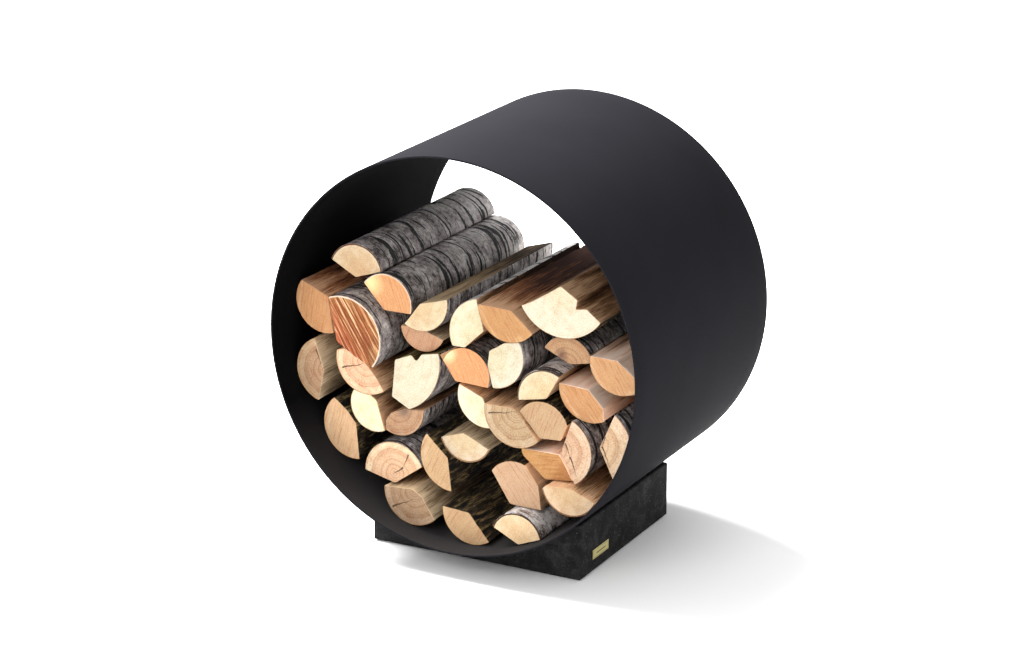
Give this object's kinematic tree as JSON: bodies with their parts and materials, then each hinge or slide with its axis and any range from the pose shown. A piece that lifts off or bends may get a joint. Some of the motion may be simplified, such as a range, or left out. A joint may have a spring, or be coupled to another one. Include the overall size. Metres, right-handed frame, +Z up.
{
  "type": "firewood log rack",
  "caption": "Round steel drum open at both ends, standing in a heavy saddle block, holding a stack of split firewood logs that draw out to the front.",
  "frame": {"origin": "on the floor under the middle of the drum", "axes": "+Z up, +Y along the drum towards its back, +X to the right seen from the front"},
  "size_m": [0.6, 0.46, 0.64],
  "materials": {
    "powder_coated_steel": "satin powder coat",
    "dark_stone": "honed, cloudy",
    "zinc_steel": "zinc plated",
    "rubber_pad": "matt",
    "brass_plate": "brushed",
    "split_wood": "sawn ends, split faces, bark"
  },
  "bodies": {
    "rack": {"drum_shell": "powder_coated_steel", "base_block": "dark_stone", "weld_studs": "zinc_steel", "stud_washers": "zinc_steel", "stud_nuts": "zinc_steel", "foot_pads": "rubber_pad", "name_plate": "brass_plate"},
    "log_01": {"log_01": "split_wood"},
    "log_02": {"log_02": "split_wood"},
    "log_03": {"log_03": "split_wood"},
    "log_04": {"log_04": "split_wood"},
    "log_05": {"log_05": "split_wood"},
    "log_06": {"log_06": "split_wood"},
    "log_07": {"log_07": "split_wood"},
    "log_08": {"log_08": "split_wood"},
    "log_09": {"log_09": "split_wood"},
    "log_10": {"log_10": "split_wood"},
    "log_11": {"log_11": "split_wood"},
    "log_12": {"log_12": "split_wood"},
    "log_13": {"log_13": "split_wood"},
    "log_14": {"log_14": "split_wood"},
    "log_15": {"log_15": "split_wood"},
    "log_16": {"log_16": "split_wood"},
    "log_17": {"log_17": "split_wood"},
    "log_18": {"log_18": "split_wood"},
    "log_19": {"log_19": "split_wood"},
    "log_20": {"log_20": "split_wood"},
    "log_21": {"log_21": "split_wood"},
    "log_22": {"log_22": "split_wood"},
    "log_23": {"log_23": "split_wood"},
    "log_24": {"log_24": "split_wood"},
    "log_25": {"log_25": "split_wood"},
    "log_26": {"log_26": "split_wood"},
    "log_27": {"log_27": "split_wood"},
    "log_28": {"log_28": "split_wood"},
    "log_29": {"log_29": "split_wood"},
    "log_30": {"log_30": "split_wood"},
    "log_31": {"log_31": "split_wood"},
    "log_32": {"log_32": "split_wood"},
    "log_33": {"log_33": "split_wood"},
    "log_34": {"log_34": "split_wood"},
    "log_35": {"log_35": "split_wood"}
  },
  "joints": [
    {"name": "log_01_draw", "type": "slide", "parent": "rack", "child": "log_01", "axis": [0, -1, 0], "range_m": [0, 0.384]},
    {"name": "log_02_draw", "type": "slide", "parent": "rack", "child": "log_02", "axis": [0, -1, 0], "range_m": [0, 0.38]},
    {"name": "log_03_draw", "type": "slide", "parent": "rack", "child": "log_03", "axis": [0, -1, 0], "range_m": [0, 0.38]},
    {"name": "log_04_draw", "type": "slide", "parent": "rack", "child": "log_04", "axis": [0, -1, 0], "range_m": [0, 0.37]},
    {"name": "log_05_draw", "type": "slide", "parent": "rack", "child": "log_05", "axis": [0, -1, 0], "range_m": [0, 0.394]},
    {"name": "log_06_draw", "type": "slide", "parent": "rack", "child": "log_06", "axis": [0, -1, 0], "range_m": [0, 0.39]},
    {"name": "log_07_draw", "type": "slide", "parent": "rack", "child": "log_07", "axis": [0, -1, 0], "range_m": [0, 0.402]},
    {"name": "log_08_draw", "type": "slide", "parent": "rack", "child": "log_08", "axis": [0, -1, 0], "range_m": [0, 0.4]},
    {"name": "log_09_draw", "type": "slide", "parent": "rack", "child": "log_09", "axis": [0, -1, 0], "range_m": [0, 0.396]},
    {"name": "log_10_draw", "type": "slide", "parent": "rack", "child": "log_10", "axis": [0, -1, 0], "range_m": [0, 0.393]},
    {"name": "log_11_draw", "type": "slide", "parent": "rack", "child": "log_11", "axis": [0, -1, 0], "range_m": [0, 0.404]},
    {"name": "log_12_draw", "type": "slide", "parent": "rack", "child": "log_12", "axis": [0, -1, 0], "range_m": [0, 0.392]},
    {"name": "log_13_draw", "type": "slide", "parent": "rack", "child": "log_13", "axis": [0, -1, 0], "range_m": [0, 0.389]},
    {"name": "log_14_draw", "type": "slide", "parent": "rack", "child": "log_14", "axis": [0, -1, 0], "range_m": [0, 0.41]},
    {"name": "log_15_draw", "type": "slide", "parent": "rack", "child": "log_15", "axis": [0, -1, 0], "range_m": [0, 0.394]},
    {"name": "log_16_draw", "type": "slide", "parent": "rack", "child": "log_16", "axis": [0, -1, 0], "range_m": [0, 0.398]},
    {"name": "log_17_draw", "type": "slide", "parent": "rack", "child": "log_17", "axis": [0, -1, 0], "range_m": [0, 0.39]},
    {"name": "log_18_draw", "type": "slide", "parent": "rack", "child": "log_18", "axis": [0, -1, 0], "range_m": [0, 0.411]},
    {"name": "log_19_draw", "type": "slide", "parent": "rack", "child": "log_19", "axis": [0, -1, 0], "range_m": [0, 0.391]},
    {"name": "log_20_draw", "type": "slide", "parent": "rack", "child": "log_20", "axis": [0, -1, 0], "range_m": [0, 0.406]},
    {"name": "log_21_draw", "type": "slide", "parent": "rack", "child": "log_21", "axis": [0, -1, 0], "range_m": [0, 0.405]},
    {"name": "log_22_draw", "type": "slide", "parent": "rack", "child": "log_22", "axis": [0, -1, 0], "range_m": [0, 0.396]},
    {"name": "log_23_draw", "type": "slide", "parent": "rack", "child": "log_23", "axis": [0, -1, 0], "range_m": [0, 0.401]},
    {"name": "log_24_draw", "type": "slide", "parent": "rack", "child": "log_24", "axis": [0, -1, 0], "range_m": [0, 0.398]},
    {"name": "log_25_draw", "type": "slide", "parent": "rack", "child": "log_25", "axis": [0, -1, 0], "range_m": [0, 0.4]},
    {"name": "log_26_draw", "type": "slide", "parent": "rack", "child": "log_26", "axis": [0, -1, 0], "range_m": [0, 0.396]},
    {"name": "log_27_draw", "type": "slide", "parent": "rack", "child": "log_27", "axis": [0, -1, 0], "range_m": [0, 0.41]},
    {"name": "log_28_draw", "type": "slide", "parent": "rack", "child": "log_28", "axis": [0, -1, 0], "range_m": [0, 0.393]},
    {"name": "log_29_draw", "type": "slide", "parent": "rack", "child": "log_29", "axis": [0, -1, 0], "range_m": [0, 0.405]},
    {"name": "log_30_draw", "type": "slide", "parent": "rack", "child": "log_30", "axis": [0, -1, 0], "range_m": [0, 0.398]},
    {"name": "log_31_draw", "type": "slide", "parent": "rack", "child": "log_31", "axis": [0, -1, 0], "range_m": [0, 0.4]},
    {"name": "log_32_draw", "type": "slide", "parent": "rack", "child": "log_32", "axis": [0, -1, 0], "range_m": [0, 0.402]},
    {"name": "log_33_draw", "type": "slide", "parent": "rack", "child": "log_33", "axis": [0, -1, 0], "range_m": [0, 0.422]},
    {"name": "log_34_draw", "type": "slide", "parent": "rack", "child": "log_34", "axis": [0, -1, 0], "range_m": [0, 0.394]},
    {"name": "log_35_draw", "type": "slide", "parent": "rack", "child": "log_35", "axis": [0, -1, 0], "range_m": [0, 0.422]}
  ]
}
